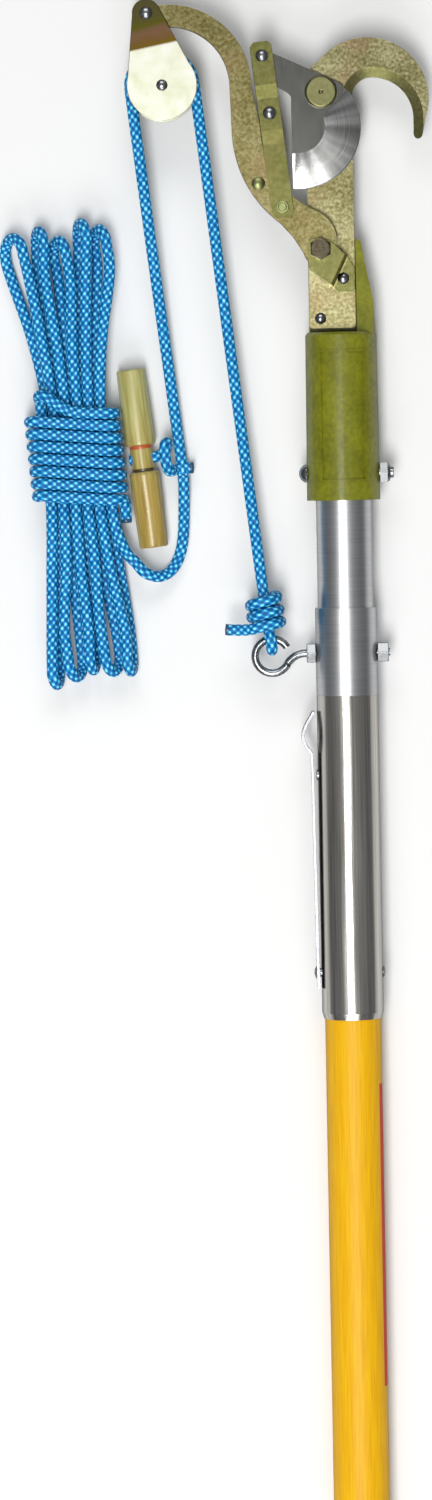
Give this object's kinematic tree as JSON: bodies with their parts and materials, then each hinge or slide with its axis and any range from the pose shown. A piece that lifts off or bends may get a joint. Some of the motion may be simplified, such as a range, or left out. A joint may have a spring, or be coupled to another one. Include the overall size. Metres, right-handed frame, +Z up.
{
  "type": "tree pruner pole",
  "caption": "Rope-worked compound-lever tree pruner head on a sectional pole, with hook, curved blade, pulley block, spring latch, blue rope hank and wooden toggle handle.",
  "frame": {"origin": "on the pole's axis, at the face of its butt end", "axes": "+Y along the pole towards the pruning head, +X to the side of the hook, +Z up from the surface the pruner lies on"},
  "size_m": [0.2452, 1.7024, 0.0418],
  "materials": {
    "pole_yellow": "glossy fibreglass",
    "foam_core": "foam",
    "black_plug": "matte",
    "polished_aluminium": "polished",
    "drawn_aluminium": "satin",
    "zinc_steel": "zinc plated",
    "cast_green": "satin paint on a casting",
    "yellow_zinc": "yellow chromated zinc",
    "blade_steel": "dark ground steel",
    "spring_steel": "browned",
    "black_nylon": "matte",
    "blue_rope": "braided",
    "varnished_wood": "varnished"
  },
  "bodies": {
    "pole": {"pole_tube": "pole_yellow", "pole_core": "foam_core", "butt_plug": "black_plug", "ferrule": "polished_aluminium", "ferrule_rivet": "zinc_steel", "adapter_tube": "drawn_aluminium", "collar": "drawn_aluminium", "eye_bolt": "zinc_steel", "eye_bolt_nuts": "zinc_steel", "socket_casting": "cast_green", "cross_bolt": "zinc_steel", "cross_bolt_nut": "zinc_steel", "hook_plate": "yellow_zinc", "blade_pivot_bolt": "yellow_zinc", "blade_pivot_washer": "zinc_steel", "blade_pivot_nut": "zinc_steel", "lever_pivot_bolt": "yellow_zinc", "lever_pivot_nut": "zinc_steel", "pivot_bracket": "yellow_zinc", "bracket_rivet": "zinc_steel", "shank_rivet": "zinc_steel", "rope_eye_knot": "blue_rope", "rope_eye_run": "blue_rope"},
    "lever": {"lever_arm": "yellow_zinc", "spring_pin": "yellow_zinc"},
    "blade": {"blade": "blade_steel"},
    "link": {"link_front": "yellow_zinc", "link_back": "yellow_zinc", "link_blade_rivet": "zinc_steel", "link_middle_rivet": "zinc_steel", "link_spacer": "yellow_zinc", "link_lever_rivet": "yellow_zinc", "return_spring": "spring_steel"},
    "pulley_block": {"block_plate_front": "yellow_zinc", "block_plate_back": "yellow_zinc", "block_rivet": "zinc_steel", "sheave_axle": "zinc_steel", "rope_over_sheave": "blue_rope"},
    "sheave": {"sheave": "black_nylon"},
    "pull_rope": {"rope_handle_run": "blue_rope", "rope_handle_hitch": "blue_rope", "toggle_handle": "varnished_wood", "rope_tail": "blue_rope", "rope_hank": "blue_rope"},
    "latch": {"latch_strip": "zinc_steel", "latch_button": "zinc_steel"}
  },
  "joints": [
    {"name": "lever_swing", "type": "hinge", "parent": "pole", "child": "lever", "pos_m": [-0.011, 1.5595, 0.0074], "axis": [0, 0, 1], "range_deg": [0, 92], "stiffness_Nm_per_rad": 0.4, "deforming": ["return_spring", "rope_eye_run"]},
    {"name": "blade_swing", "type": "hinge", "parent": "pole", "child": "blade", "pos_m": [-0.009, 1.6485, 0.00515], "axis": [0, 0, 1], "range_deg": [0, 70.8]},
    {"name": "link_swing", "type": "hinge", "parent": "lever", "child": "link", "pos_m": [-0.032, 1.5835, 0.0074], "axis": [0, 0, 1], "range_deg": [-96.5, 0], "deforming": ["return_spring"]},
    {"name": "block_swing", "type": "hinge", "parent": "lever", "child": "pulley_block", "pos_m": [-0.107, 1.6945, 0.0074], "axis": [0, 0, 1], "range_deg": [-92, 0], "deforming": ["rope_eye_run"]},
    {"name": "sheave_spin", "type": "hinge", "parent": "pulley_block", "child": "sheave", "pos_m": [-0.0987, 1.6534, 0.0074], "axis": [0, 0, 1], "continuous": true},
    {"name": "rope_pull", "type": "slide", "parent": "pulley_block", "child": "pull_rope", "axis": [0.1167, -0.9932, 0], "range_m": [0, 0.2025], "deforming": ["rope_handle_run"]},
    {"name": "latch_lift", "type": "hinge", "parent": "pole", "child": "latch", "pos_m": [-0.01904, 1.15, 0], "axis": [0, 0, 1], "range_deg": [0, 2.5], "stiffness_Nm_per_rad": 6, "springref_deg": -1.15}
  ],
  "couplings": [
    {"joint": "blade_swing", "follows": "lever_swing", "ratio": 0.769},
    {"joint": "link_swing", "follows": "lever_swing", "ratio": -1.048},
    {"joint": "block_swing", "follows": "lever_swing", "ratio": -1},
    {"joint": "sheave_spin", "follows": "lever_swing", "ratio": 6.95},
    {"joint": "rope_pull", "follows": "lever_swing", "m_per_rad": 0.126}
  ]
}
